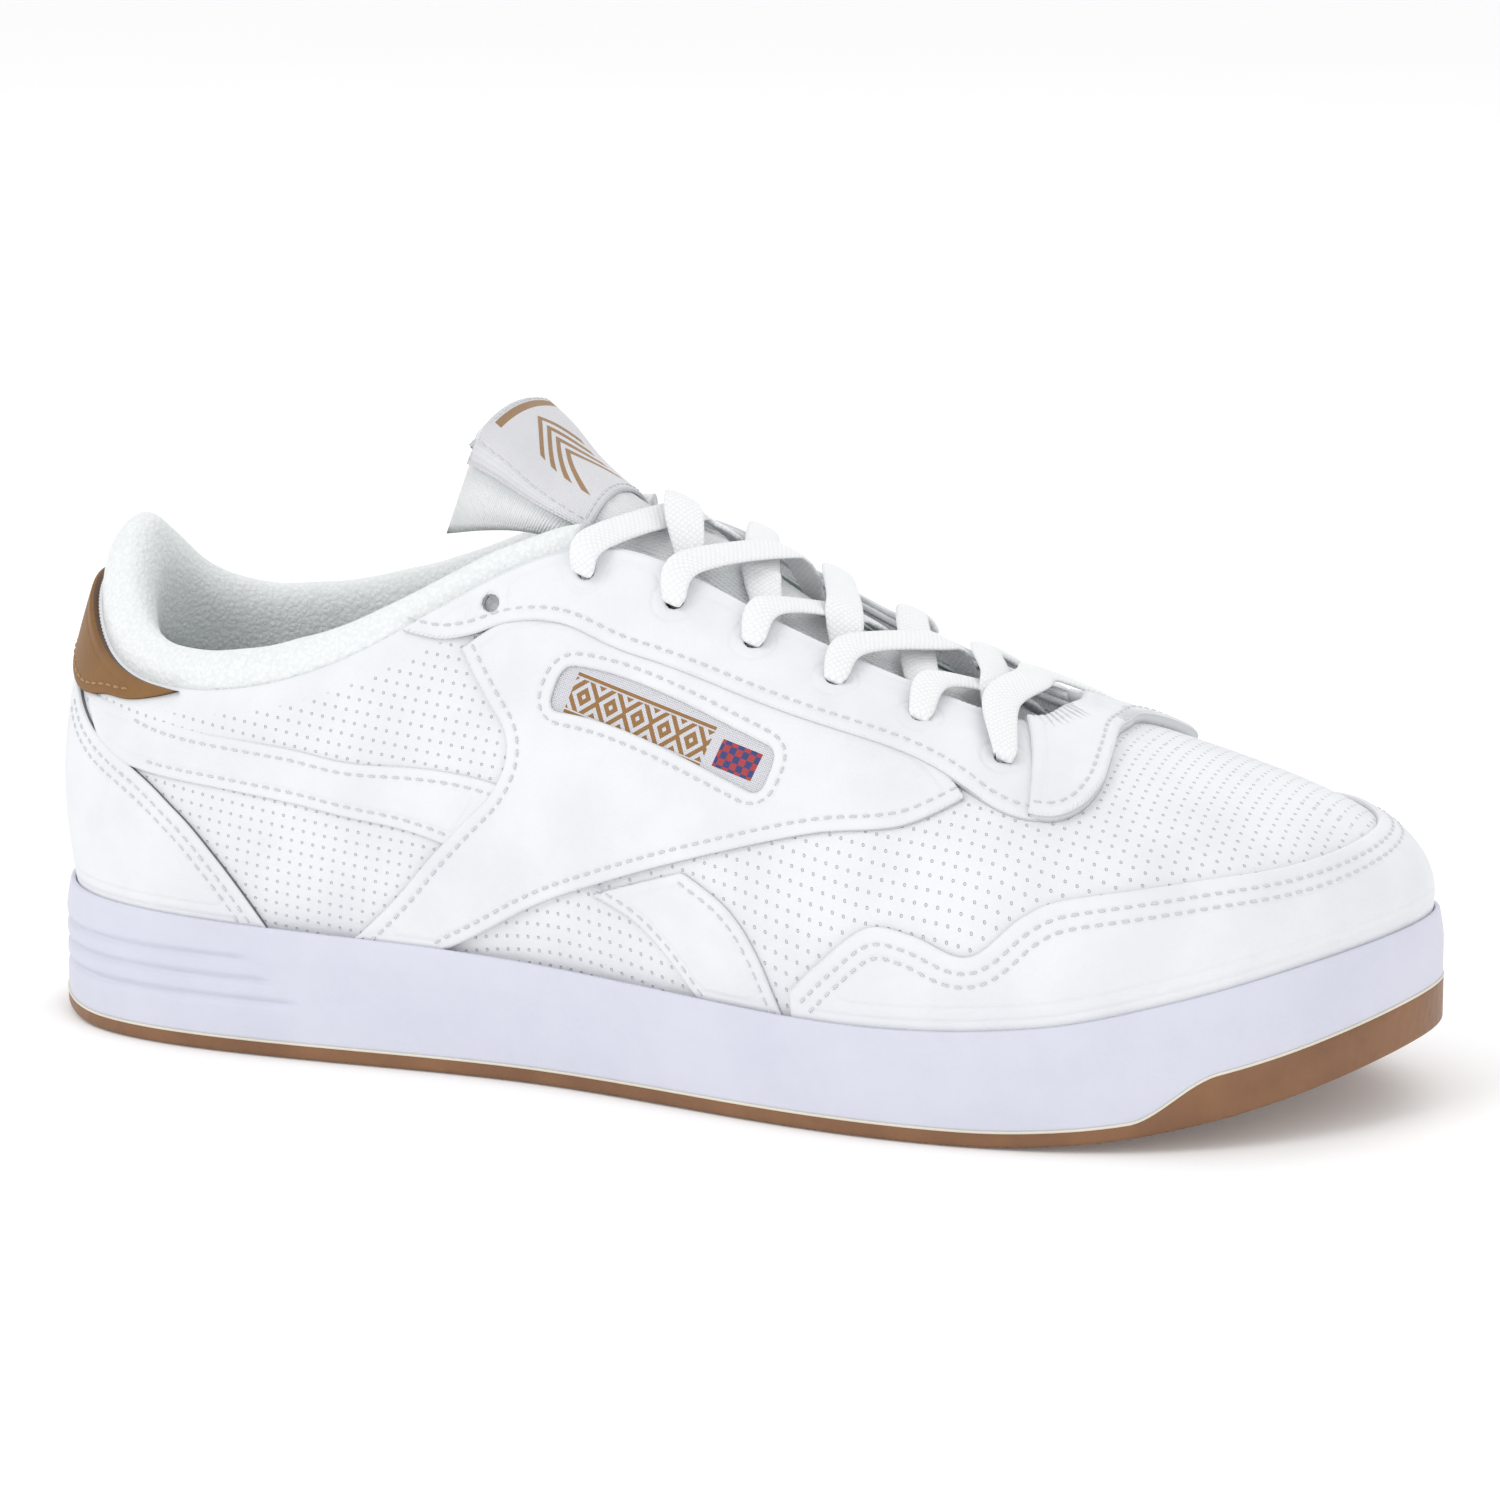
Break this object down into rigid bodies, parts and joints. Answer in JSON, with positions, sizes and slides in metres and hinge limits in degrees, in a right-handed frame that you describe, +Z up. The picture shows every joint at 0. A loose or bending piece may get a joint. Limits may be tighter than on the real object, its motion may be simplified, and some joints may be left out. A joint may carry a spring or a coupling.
{
  "type": "court shoe",
  "caption": "Low-cut right court shoe with a layered leather upper, padded collar, laced padded tongue, cup sole and gum outsole.",
  "frame": {"origin": "on the ground under the middle of the sole's length", "axes": "+X towards the toe, +Y towards the inner (medial) side, +Z up"},
  "size_m": [0.2974, 0.1095, 0.1341],
  "materials": {
    "white_leather": "fine grain, low sheen",
    "brown_leather": "fine grain, low sheen",
    "lining_fabric": "smooth tricot",
    "padding_foam": "open-cell foam",
    "stiffener": "thermoplastic sheet",
    "board_fabric": "felted fabric",
    "gum_rubber": "matt, pebbled",
    "white_rubber": "matt, fine grain",
    "terry": "looped terry",
    "tongue_knit": "ribbed knit",
    "woven_label": "fine twill",
    "sock_cloth": "plain cloth",
    "lace_cotton": "flat braid",
    "aglet_film": "clear film"
  },
  "bodies": {
    "shell": {"vamp": "white_leather", "mudguard": "white_leather", "heel_overlay": "white_leather", "front_stay": "white_leather", "quarter_lateral": "white_leather", "quarter_medial": "white_leather", "eyestay_lateral": "white_leather", "eyestay_medial": "white_leather", "saddle_lateral": "white_leather", "saddle_medial": "white_leather", "rear_band_lateral": "white_leather", "rear_band_medial": "white_leather", "forefoot_support_lateral": "white_leather", "forefoot_support_medial": "white_leather", "vamp_lining": "lining_fabric", "quarter_lining_lateral": "lining_fabric", "quarter_lining_medial": "lining_fabric", "vamp_padding": "padding_foam", "quarter_padding_lateral": "padding_foam", "quarter_padding_medial": "padding_foam", "collar_foam": "padding_foam", "midsole_foam": "padding_foam", "toe_puff": "stiffener", "heel_counter": "stiffener", "eyelet_tape_lateral": "stiffener", "eyelet_tape_medial": "stiffener", "strobel_board": "board_fabric", "outsole": "gum_rubber", "cupsole": "white_rubber", "heel_tab": "brown_leather", "collar_lining": "terry", "side_label": "woven_label", "shoelace": "lace_cotton", "aglets": "aglet_film"},
    "tongue": {"tongue_face": "tongue_knit", "tongue_foam": "padding_foam", "tongue_lining": "terry", "tongue_label": "woven_label"},
    "sockliner": {"sockliner_foam": "padding_foam", "sockliner_cloth": "sock_cloth"}
  },
  "joints": [
    {"name": "tongue_fold", "type": "hinge", "parent": "shell", "child": "tongue", "pos_m": [0.068, 0, 0.07], "axis": [0, 1, 0], "range_deg": [-8, 0]},
    {"name": "sockliner_lift", "type": "slide", "parent": "shell", "child": "sockliner", "axis": [0, 0, 1], "range_m": [0, 0.006]}
  ]
}
